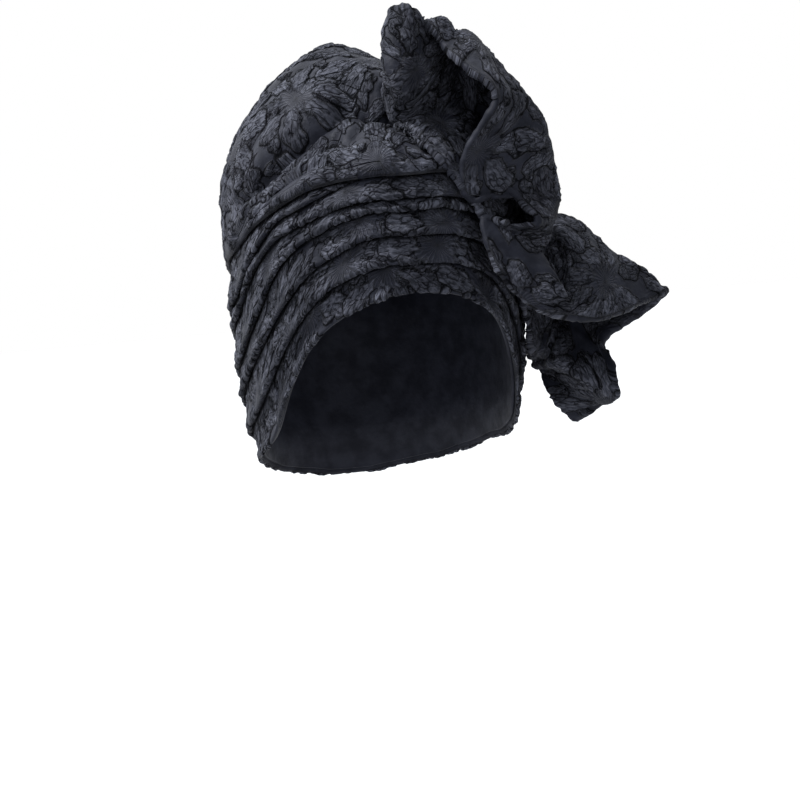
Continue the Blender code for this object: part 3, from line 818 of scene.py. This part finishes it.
def pleat_lines(angles, name, next_name, after_name):
    """Nine lines of one pleat's section around the head, from its inner lower edge and back."""
    low = fold_height(name, angles)
    high = fold_height(next_name, angles)
    own_room = fold_room(low, high)
    if after_name:
        next_room = fold_room(high, fold_height(after_name, angles))
    else:
        next_room = np.ones_like(high)
    tucked = np.clip((next_room - TUCKED_ROOM) / (1.0 - TUCKED_ROOM), 0.0, 1.0)
    top = high - CLOSED_DROP + (TUCK + CLOSED_DROP) * tucked
    if name == "pleat_1":
        inner = np.full_like(low, PLEAT_GAP)
        outer = np.full_like(low, RIM_FOLD_PROUD)
        own_tuck = RIM_TUCK_SHARE * (high - low)
    else:
        inner = PLEAT_GAP + (PLEAT_CLOTH + PLEAT_GAP) * np.clip(UNDERLAP_RATE * own_room, 0.0, 1.0)
        outer = PLEAT_GAP + PLEAT_CLOTH + (PLEAT_FOLD_PROUD - PLEAT_GAP - PLEAT_CLOTH) * own_room
        own_tuck = TUCK * own_room
    face = outer - (PLEAT_FOLD_PROUD - PLEAT_FACE_PROUD) * own_room
    shown = np.maximum(high, low + LEAST_ROOM)
    flat = np.full_like(low, PLEAT_GAP + PLEAT_CLOTH)
    gap = np.full_like(low, PLEAT_GAP)
    return (
        (inner, low + INNER_EDGE_RISE),
        (0.5 * (inner + outer), low - FOLD_TURN),
        (outer, low + FOLD_FACE_RISE),
        (face, low + FACE_SHARE * (shown - low)),
        (flat, np.minimum(shown - FACE_END_DROP, top - LEAST_STEP)),
        (flat, top),
        (gap, top),
        (gap, np.minimum(low + own_tuck + BACK_STEP, top - LEAST_STEP)),
        (inner, np.minimum(low + own_tuck + TUCK_STEP, top - 2.0 * LEAST_STEP)),
    )


def make_pleat(number, name, next_name, after_name, material):
    angles = STATION_ANGLES
    lines = np.array(pleat_lines(angles, name, next_name, after_name))
    lines = np.concatenate([lines, lines[:1]])
    at = [0.0]
    for segment, steps in enumerate(PLEAT_STEPS):
        at += [segment + (step + 1) / steps for step in range(steps)]
    at = np.array(at[:-1])
    section = through(np.arange(len(lines)), lines, at)
    proud, heights = section[:, 0], section[:, 1]
    around = np.broadcast_to(angles, heights.shape)
    rings = wall_offset(around, heights, proud)
    normals = surface_normals(rings)
    first, last = np.flatnonzero((at > RELIEF_START) & (at < RELIEF_END))[[0, -1]]
    shown = slice(first, last + 1)
    closed = np.concatenate([rings[shown], rings[shown, :1]], axis=1)
    relief = grid_relief(closed.transpose(1, 0, 2), number, wrap=True).transpose(1, 0, 2)[:, :-1]
    fade = smooth_step((at[shown] - RELIEF_START) / FADE_IN) * smooth_step((FADE_END - at[shown]) / FADE_OUT)
    rings[shown] += (relief[..., HEIGHT] * fade[:, None])[..., None] * normals[shown]
    rows = blank_relief(heights.size).reshape(len(rings), STATIONS, -1)
    rows[shown] = relief
    # Painted shade: the distance to the next pleat's fold, where this pleat tucks under it, goes into the
    # shade line column, so the material paints the cloth darker towards the tuck
    to_tuck = np.abs(fold_height(next_name, angles) - heights) / TUCK_SHADE
    nearer_tuck_shade = to_tuck < np.abs(rows[..., SHADE_LINE])
    rows[nearer_tuck_shade, SHADE_LINE] = to_tuck[nearer_tuck_shade]
    faces = [[index % heights.size for index in face] for face in ring_faces(len(rings) + 1, STATIONS)]
    return new_piece(name + "_cloth", rings.reshape(-1, 3), faces, rows.reshape(heights.size, -1), material)


# Ruffle
def ruffle_base(share):
    """Line on the cap where the ruffle is gathered."""
    rows = np.linspace(0.0, 1.0, len(BASE_ROWS))
    return cap_skin(through(rows, BASE["angle"], share), through(rows, BASE["height"], share))


def cap_skin(angle, height):
    """Outermost surface of the cap under the ruffle: pleats below the cuff, bag above it."""
    above = smooth_step((height - fold_height("crown", angle)) / CUFF_POCKET_DEPTH + 1.0)[..., None]
    on_wall = wall_offset(angle, height, PLEAT_FOLD_PROUD)
    return on_wall * (1.0 - above) + crown_skin(angle, height) * above


def rest_on_cap(points, clearance):
    """Points moved straight out from the cap's axis until they are clear of its surface."""
    height = np.clip(points[..., 2], -NAPE_DEPTH, RUFFLE_REST_TOP)
    front, side, back = (bag_point(angle, height) for angle in (0.0, 90.0, 180.0))
    centre = 0.5 * (front + back)
    sizes = at_places(np.linalg.norm(side - centre, axis=-1), np.linalg.norm(back - centre, axis=-1))
    centre = centre[..., :2]
    flat = (points[..., :2] - centre) / sizes
    across, along = flat[..., 0], flat[..., 1]
    skin = cap_skin(np.degrees(np.arctan2(across, -along)), height)
    skin = (skin[..., :2] - centre) / sizes
    least = np.hypot(skin[..., 0], skin[..., 1]) + clearance / sizes.min(axis=-1)
    reach = np.maximum(np.hypot(across, along), SHORTEST)
    push = np.where(points[..., 2] < RUFFLE_REST_TOP, np.maximum(least / reach, 1.0), 1.0)
    moved = points.copy()
    moved[..., :2] = centre + flat * sizes * push[..., None]
    return moved


def cap_tree():
    """Search tree of the cap's outermost surface, as a grid of angle and height."""
    angles = np.arange(-180.0, 180.0, ENVELOPE_ANGLE_STEP)
    heights = np.arange(-NAPE_DEPTH, RUFFLE_REST_TOP, ENVELOPE_HEIGHT_STEP)
    rings = [cap_skin(angles, height + 0.0 * angles) for height in heights]
    corners = [Vector(point) for point in np.concatenate(rings)]
    return BVHTree.FromPolygons(corners, ring_faces(len(rings), len(angles)))


def lift_clear(grid, tree, clearance):
    """Grid points moved straight off a surface until each is clear of it."""
    lifted = grid.copy()
    for index in np.ndindex(grid.shape[:2]):
        point = Vector(lifted[index])
        for _ in range(LIFT_PASSES):
            near, normal, _, distance = tree.find_nearest(point)
            gap = copysign(distance, (point - near).dot(normal))
            if gap >= clearance:
                break
            point += (clearance - gap) * normal
        lifted[index] = point
    return lifted


def ruffle_line(kind, at):
    """Places on one of the ruffle's lines, which its table gives in its own turned plane."""
    across, up, out = (np.array(RUFFLE[kind + way], float) for way in ("_across", "_up", "_out"))
    turn = radians(RUFFLE_TURN)
    x = across * cos(turn) - out * sin(turn)
    y = -across * sin(turn) - out * cos(turn)
    return through(np.arange(len(RUFFLE_ROWS)), at_places(x, y, up), at)


def ruffle_grid(rows, columns):
    """Middle surface of the ruffle's sheet: rows along the gathered line, columns from base to edge."""
    at = np.linspace(0.0, len(RUFFLE_ROWS) - 1.0, rows)
    share = through(np.arange(len(RUFFLE_ROWS)), RUFFLE["base"], at)
    lines = np.stack([ruffle_base(share)] + [ruffle_line(kind, at) for kind in ("hollow", "crest", "edge")])
    grid = np.empty((rows, columns, 3))
    for row in range(rows):
        lengths = np.linalg.norm(np.diff(lines[:, row], axis=0), axis=1)
        knots = np.concatenate([[0.0], np.cumsum(lengths**COLUMN_EVENNESS)])
        grid[row] = through(knots, lines[:, row], np.linspace(0.0, knots[-1], columns))
    return rest_on_cap(grid, RUFFLE_CLEARANCE)


def grid_normals(grid):
    return unit(np.cross(np.gradient(grid, axis=0), np.gradient(grid, axis=1)))


def ruffle_wrinkles(down, over):
    """Gathers and seams by the gathered line, and wrinkles that fan out to the edge."""
    places = at_places(down, over * FAN_STRETCH, 0.0)
    fan = smooth_step((over - FAN_START * over[:, -1:]) / FAN_RISE)
    wrinkles = FAN_HEIGHT * fan * ridges(places, FAN_WIDTH, seed=21)
    wrinkles += GATHER_HEIGHT * bell(over / GATHER_REACH) * ridges(places, GATHER_WIDTH, seed=22)
    for seam in SEAM_PLACES:
        wrinkles -= SEAM_DEPTH * bell((over - seam) / SEAM_WIDTH)
    return wrinkles


def rim_numbers(corners, inset):
    """Numbers of a grid's points along its rim, or of those one step further in."""
    low, high = inset, -1 - inset
    sides = (corners[:, low], corners[high, 1:], corners[-2::-1, high], corners[low, -2:0:-1])
    return np.concatenate(sides)


def rim_lines(middle_points, upper, under, around, inner):
    """Lines of points that round the sheet's rim from its front to its back."""
    outward_edge = unit(middle_points[around] - middle_points[inner])
    middle, reach = 0.5 * (upper[around] + under[around]), 0.5 * (upper[around] - under[around])
    bulge = np.linalg.norm(reach, axis=1, keepdims=True) * outward_edge
    return [middle + cos(turn) * reach + sin(turn) * bulge for turn in np.radians(RIM_TURNS)]


def sheet_faces(corners, around):
    """Faces of the sheet's front and back and of the lanes round its rim."""
    sides = (corners[:-1, :-1], corners[:-1, 1:], corners[1:, 1:], corners[1:, :-1])
    a, b, c, d = (side.reshape(-1) for side in sides)
    faces = at_places(a, d, c, b).tolist() + (at_places(a, b, c, d) + corners.size).tolist()
    rounds = 2 * corners.size + np.arange(len(RIM_TURNS) * len(around)).reshape(-1, len(around))
    lanes = [around, *rounds, corners.size + around]
    for lane, next_lane in zip(lanes[:-1], lanes[1:]):
        faces += at_places(lane, next_lane, np.roll(next_lane, -1), np.roll(lane, -1)).tolist()
    return faces


def make_ruffle(material):
    grid = ruffle_grid(RUFFLE_FINE_ROWS, RUFFLE_FINE_COLUMNS)
    down, over = grid_places(grid)
    swell = noise(at_places(down, over, 0.0), SWELL_SIZE, seed=31)
    swell = SWELL_HEIGHT * swell * smooth_step(over / SWELL_SIZE)
    grid = lift_clear(grid + swell[..., None] * grid_normals(grid), cap_tree(), RUFFLE_CLEARANCE)
    normals = grid_normals(grid)
    front = grid_relief(grid, RUFFLE_LAYOUT_SEEDS[0])
    back = grid_relief(grid[:, ::-1], RUFFLE_LAYOUT_SEEDS[1])[:, ::-1]
    wrinkles = ruffle_wrinkles(down, over)
    front[..., HEIGHT] += wrinkles
    back[..., HEIGHT] += wrinkles
    to_edge = np.minimum(over[:, -1:] - over, np.minimum(down, down[-1:] - down))
    half = 0.5 * RUFFLE_WALL + HEM_SWELL * bell(to_edge / HEM_WIDTH)
    upper = (grid + (half + front[..., HEIGHT])[..., None] * normals).reshape(-1, 3)
    under = (grid - (half + back[..., HEIGHT])[..., None] * normals).reshape(-1, 3)
    corners = np.arange(len(upper)).reshape(grid.shape[:2])
    around, inner = rim_numbers(corners, 0), rim_numbers(corners, 1)
    points = np.vstack([upper, under] + rim_lines(grid.reshape(-1, 3), upper, under, around, inner))
    front, back = front.reshape(len(upper), -1), back.reshape(len(upper), -1)
    relief = np.vstack([front, back] + [front[around]] * len(RIM_TURNS))
    return new_piece("ruffle_cloth", points, sheet_faces(corners, around), relief, material)


# Brocade material
GROUND_COLOUR = (0.0112, 0.0124, 0.0192, 1.0)
RAISED_COLOUR = (0.0335, 0.0356, 0.0470, 1.0)
GROUND_ROUGHNESS = 0.62
RAISED_ROUGHNESS = 0.75
SHEEN = 0.03
SHEEN_ROUGHNESS = 0.4
SPECULAR = 0.12

# Its noises: scale and detail
WANDER_NOISE = (0.35, 2.0)
CREASED_NOISE = (0.16, 1.0)
PUCKER_NOISE = (0.6, 4.0)
WOBBLE_NOISE = (0.25, 2.0)
TONE_NOISE = (1.0, 0.0)
PATCH_NOISE = (90.0, 3.0)
GROUND_NOISE = (260.0, 3.0)
WEAVE_NOISE = (1500.0, 2.0)
CREASE_STRETCH = (0.5, 1.0, 5.0)
TONE_STRETCH = (0.02, 0.02, 1.7)
WANDER_REACH = 2.6
WOBBLE_REACH = 7.0
CREASE_CELLS = 0.34

# Its ranges: from low, from high, to low and to high
CREASE_RANGE = (0.0, 0.12, 0.0, 1.0)
CREASED_RANGE = (0.36, 0.5, 0.0, 1.0)
LINE_RANGE = (0.05, 0.6, 1.0, 0.0)
STEP_RANGE = (-0.25, 0.7, 0.0, 1.0)
RAY_RANGE = (-0.2, 1.0, 0.0, 1.0)
# Painted shade along the lines and in the creases, and painted shade in the puckers' hollows with painted
# light on their tops; the petals', patches' and rays' tones are the cloth's own
LINE_PAINTED_SHADE = (0.0, 1.0, 1.0, 0.26)
CREASE_PAINTED_SHADE = (0.0, 1.0, 0.35, 1.0)
PUCKER_PAINTED_SHADING = (0.38, 0.6, 0.55, 1.3)
TONE_SHADE = (0.3, 0.7, 0.7, 1.3)
PATCH_SHADE = (0.3, 0.7, 0.75, 1.25)
RAY_SHADE = (0.0, 1.0, 0.9, 1.35)
ROUGHNESS_RANGE = (0.0, 1.0, GROUND_ROUGHNESS, RAISED_ROUGHNESS)

# Its relief in mm
STEP_HEIGHT = 0.45
LINE_HEIGHT = -0.5
CREASE_HEIGHT = 0.6
PUCKER_HEIGHT = 1.4
RAY_HEIGHT = 0.45
GROUND_HEIGHT = 0.35
WEAVE_HEIGHT = 0.08


def brocade_material():
    """Black cloth from the relief's attributes: petal outlines, creases, rays and a fine weave, with painted
    shade along the lines of petals' edges, folds' creases and pleats' tucks, in the petals' creases and
    pucker hollows, and painted light on the puckers' tops.
    """
    material = bpy.data.materials.new("black_brocade")
    material.use_nodes = True
    tree = material.node_tree
    shader = tree.nodes["Principled BSDF"]
    raised = attribute(tree, "raised", "Fac")
    shade_line = attribute(tree, "shade_line", "Fac")
    petal = attribute(tree, "petal", "Vector")
    places = new_node(tree, "TexCoord").outputs["Object"]
    creases, puckers = petal_creases(tree, petal)
    # Near 1 along the lines of painted shade, where the colour and the reflections are darkened
    line = ranged(math_node("ABSOLUTE", shade_line), LINE_RANGE)
    rays = flower_rays(tree)

    tones = noise_value(scaled(petal, TONE_STRETCH), TONE_NOISE)
    # Painted shade along the lines, in the creases and in the puckers' hollows, painted light on the
    # puckers' tops, times the cloth's own tones of petals, patches and rays
    tone_and_shade_factors = [ranged(line, LINE_PAINTED_SHADE)]
    for value, shade in ((creases, CREASE_PAINTED_SHADE), (puckers, PUCKER_PAINTED_SHADING), (tones, TONE_SHADE)):
        tone_and_shade_factors.append(blended(raised, 1.0, ranged(value, shade)))
    tone_and_shade_factors += [ranged(noise_value(places, PATCH_NOISE), PATCH_SHADE), ranged(rays, RAY_SHADE)]
    tones_and_painted_shade = functools.reduce(product, tone_and_shade_factors)
    colours = {"Factor": raised, "A": GROUND_COLOUR, "B": RAISED_COLOUR}
    colour = new_node(tree, "Mix", colours, data_type="RGBA").outputs["Result"]
    colour_with_tones_and_painted_shade = new_node(tree, "VectorMath", {0: colour, "Scale": tones_and_painted_shade}, operation="SCALE").outputs["Vector"]

    inner = summed((creases, CREASE_HEIGHT), (puckers, PUCKER_HEIGHT))
    height = summed(
        (ranged(shade_line, STEP_RANGE), STEP_HEIGHT),
        (line, LINE_HEIGHT),
        (raised, inner),
        (rays, RAY_HEIGHT),
        (noise_value(places, GROUND_NOISE), GROUND_HEIGHT),
        (noise_value(places, WEAVE_NOISE), WEAVE_HEIGHT),
    )
    bump = new_node(tree, "Bump", {"Strength": 1.0, "Distance": MM, "Height": height})

    shader.inputs["Sheen Roughness"].default_value = SHEEN_ROUGHNESS
    looks = {
        "Base Color": colour_with_tones_and_painted_shade,
        # The same painted shade also dims the sheen and the specular reflection
        "Sheen Weight": product(tones_and_painted_shade, SHEEN),
        "Specular IOR Level": product(tones_and_painted_shade, SPECULAR),
        "Roughness": ranged(raised, ROUGHNESS_RANGE),
        "Normal": bump.outputs["Normal"],
    }
    for name, socket in looks.items():
        tree.links.new(socket, shader.inputs[name])
    return material


def petal_creases(tree, petal):
    """Short creases in each petal, mostly along it, and soft puckers, which the material paints darker in
    the creases and the puckers' hollows and lighter on the puckers' tops, as painted shade and light.
    """
    stretched = scaled(petal, CREASE_STRETCH)
    shift = noise_node(stretched, WANDER_NOISE).outputs["Color"]
    wandering = moved_by(stretched, shift, WANDER_REACH)
    sizes = {"Scale": CREASE_CELLS, "Vector": wandering}
    cells = new_node(tree, "TexVoronoi", sizes, feature="DISTANCE_TO_EDGE")
    creases = ranged(cells.outputs["Distance"], CREASE_RANGE)
    creased = ranged(noise_value(stretched, CREASED_NOISE), CREASED_RANGE)
    return blended(creased, 1.0, creases), noise_value(wandering, PUCKER_NOISE)


def flower_rays(tree):
    """Fine rays round each flower's middle."""
    rays = attribute(tree, "rays", "Vector")
    apart = new_node(tree, "SeparateXYZ", {"Vector": rays}).outputs
    turn = math_node("ARCTAN2", apart["Y"], apart["X"])
    wobble = product(noise_value(rays, WOBBLE_NOISE), WOBBLE_REACH)
    wave = math_node("COSINE", math_node("MULTIPLY_ADD", turn, float(RAYS), wobble))
    return product(ranged(wave, RAY_RANGE), apart["Z"])


# Shader nodes
def new_node(tree, kind, inputs=None, **settings):
    """A node with its settings and its inputs, which are sockets or plain values."""
    node = tree.nodes.new("ShaderNode" + kind)
    for name, setting in settings.items():
        setattr(node, name, setting)
    for place, value in (inputs or {}).items():
        if isinstance(value, bpy.types.NodeSocket):
            tree.links.new(value, node.inputs[place])
        else:
            node.inputs[place].default_value = value
    return node


def attribute(tree, name, output):
    return new_node(tree, "Attribute", attribute_name=name).outputs[output]


def math_node(operation, *values):
    inputs = dict(enumerate(values))
    return new_node(values[0].id_data, "Math", inputs, operation=operation).outputs["Value"]


def vector_node(operation, *values):
    inputs = dict(enumerate(values))
    return new_node(values[0].id_data, "VectorMath", inputs, operation=operation).outputs["Vector"]


def product(first, second):
    return math_node("MULTIPLY", first, second)


def summed(*pairs):
    """Sum of the products of pairs."""
    return functools.reduce(functools.partial(math_node, "ADD"), [product(*pair) for pair in pairs])


def ranged(value, limits):
    """The value turned smoothly from one range into another."""
    inputs = dict(zip(("From Min", "From Max", "To Min", "To Max"), limits), Value=value)
    return new_node(value.id_data, "MapRange", inputs, interpolation_type="SMOOTHSTEP").outputs["Result"]


def blended(factor, first, second):
    """A mix of a number and a socket."""
    return new_node(factor.id_data, "Mix", {"Factor": factor, "A": first, "B": second}).outputs["Result"]


def scaled(vector, factors):
    return vector_node("MULTIPLY", vector, factors)


def moved_by(vector, shift, reach):
    """The vector moved sideways by a noise colour, up to half the reach each way."""
    centred = vector_node("SUBTRACT", shift, (0.5, 0.5, 0.5))
    return vector_node("MULTIPLY_ADD", centred, (reach, reach, 0.0), vector)


def noise_node(vector, sizes):
    scale, detail = sizes
    return new_node(vector.id_data, "TexNoise", {"Scale": scale, "Detail": detail, "Vector": vector})


def noise_value(vector, sizes):
    return noise_node(vector, sizes).outputs["Fac"]


# Camera, floor and light
CAMERA_AZIMUTH = -25.0
CAMERA_ELEVATION = 4.0
CAMERA_ROLL = 4.5
CAMERA_DISTANCE = 1300.0
PIXELS_PER_MM = 1.646
PICTURE_WIDTH = 800.0
SENSOR_WIDTH = 36.0
ORIGIN_PIXEL = (374.0, 300.0)
CLIP_END = 50.0
FLOOR_DROP = 430.0
FLOOR_REACH = 12.0
FLOOR_ROUGHNESS = 0.9
FLOOR_CORNERS = ((-1, -1), (1, -1), (1, 1), (-1, 1))
SKY_LOW = 0.09
SKY_HIGH = 2.3
SOFT_BOX_SIDE = -0.6
SOFT_BOX_EDGE = -0.15
SKY_COLOUR = (0.92, 0.95, 1.0, 1.0)
BACKDROP_COLOUR = (1.0, 1.0, 1.0, 1.0)
SUN_STRENGTH = 5.2
SUN_SOFTNESS = 11.0
SUN_PLACE = (-0.8, 1.0, 0.15)
FLOOR_COLOUR = (0.42, 0.42, 0.42, 1.0)


def camera_axes():
    """The camera's right, up and backward directions in the cap's frame."""
    azimuth, elevation, roll = map(radians, (CAMERA_AZIMUTH, CAMERA_ELEVATION, CAMERA_ROLL))
    level_reach = cos(elevation)
    back = Vector((sin(azimuth) * level_reach, -cos(azimuth) * level_reach, sin(elevation)))
    level = Vector((cos(azimuth), sin(azimuth), 0.0))
    above = back.cross(level)
    right = level * cos(roll) - above * sin(roll)
    up = level * sin(roll) + above * cos(roll)
    return right, up, back


def make_camera():
    right, up, back = camera_axes()
    middle = PICTURE_WIDTH / 2.0
    across, down = middle - ORIGIN_PIXEL[0], middle - ORIGIN_PIXEL[1]
    target = across / PIXELS_PER_MM * right - down / PIXELS_PER_MM * up
    place = (target + CAMERA_DISTANCE * back) * MM
    camera = linked("camera", bpy.data.cameras.new("camera"))
    camera.data.sensor_width = SENSOR_WIDTH
    camera.data.lens = PIXELS_PER_MM * CAMERA_DISTANCE / PICTURE_WIDTH * SENSOR_WIDTH
    camera.data.clip_end = CLIP_END
    camera.matrix_world = Matrix((*zip(right, up, back, place), (0.0, 0.0, 0.0, 1.0)))
    bpy.context.scene.camera = camera


def make_floor():
    material = bpy.data.materials.new("floor_white")
    material.use_nodes = True
    shader = material.node_tree.nodes["Principled BSDF"]
    shader.inputs["Base Color"].default_value = FLOOR_COLOUR
    shader.inputs["Roughness"].default_value = FLOOR_ROUGHNESS
    mesh = bpy.data.meshes.new("floor")
    corners = [(FLOOR_REACH * x, FLOOR_REACH * y, -FLOOR_DROP * MM) for x, y in FLOOR_CORNERS]
    mesh.from_pydata(corners, [], [(0, 1, 2, 3)])
    mesh.materials.append(material)
    floor = linked("floor", mesh)


def light_scene():
    """A soft sun from the upper left and a sky that glows on that side, before a white backdrop."""
    right, up, back = camera_axes()
    sun = bpy.data.lights.new("key", "SUN")
    sun.energy = SUN_STRENGTH
    sun.angle = radians(SUN_SOFTNESS)
    direction = SUN_PLACE[0] * right + SUN_PLACE[1] * up + SUN_PLACE[2] * back
    linked("key", sun).rotation_euler = direction.to_track_quat("Z", "Y").to_euler()
    world = bpy.data.worlds.new("studio")
    world.use_nodes = True
    tree = world.node_tree
    tree.nodes.clear()
    box_side = (SOFT_BOX_SIDE * right + up).normalized()
    sky_place = new_node(tree, "TexCoord").outputs["Generated"]
    soft_box = new_node(tree, "VectorMath", {0: sky_place, 1: box_side}, operation="DOT_PRODUCT")
    glow = ranged(soft_box.outputs["Value"], (SOFT_BOX_EDGE, 1.0, SKY_LOW, SKY_HIGH))
    sky = new_node(tree, "Background", {"Color": SKY_COLOUR, "Strength": glow})
    backdrop = new_node(tree, "Background", {"Color": BACKDROP_COLOUR, "Strength": 1.0})
    seen = new_node(tree, "LightPath").outputs["Is Camera Ray"]
    mix = new_node(tree, "MixShader", {"Fac": seen, 1: sky.outputs[0], 2: backdrop.outputs[0]})
    new_node(tree, "OutputWorld", {"Surface": mix.outputs["Shader"]})
    bpy.context.scene.world = world
    bpy.context.scene.view_settings.view_transform = "Standard"


def main():
    make_camera()
    make_floor()
    light_scene()
    brocade = brocade_material()
    crown = make_crown(brocade)
    pieces = {"crown": crown}
    names = [*FOLD_HEIGHTS, None]
    for number, folds in enumerate(zip(names, names[1:], names[2:]), 1):
        pieces[folds[0]] = make_pleat(number, *folds, brocade)
    pieces["ruffle"] = make_ruffle(brocade)
    for name, piece in pieces.items():
        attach(piece, BODY)
        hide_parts(name)


main()
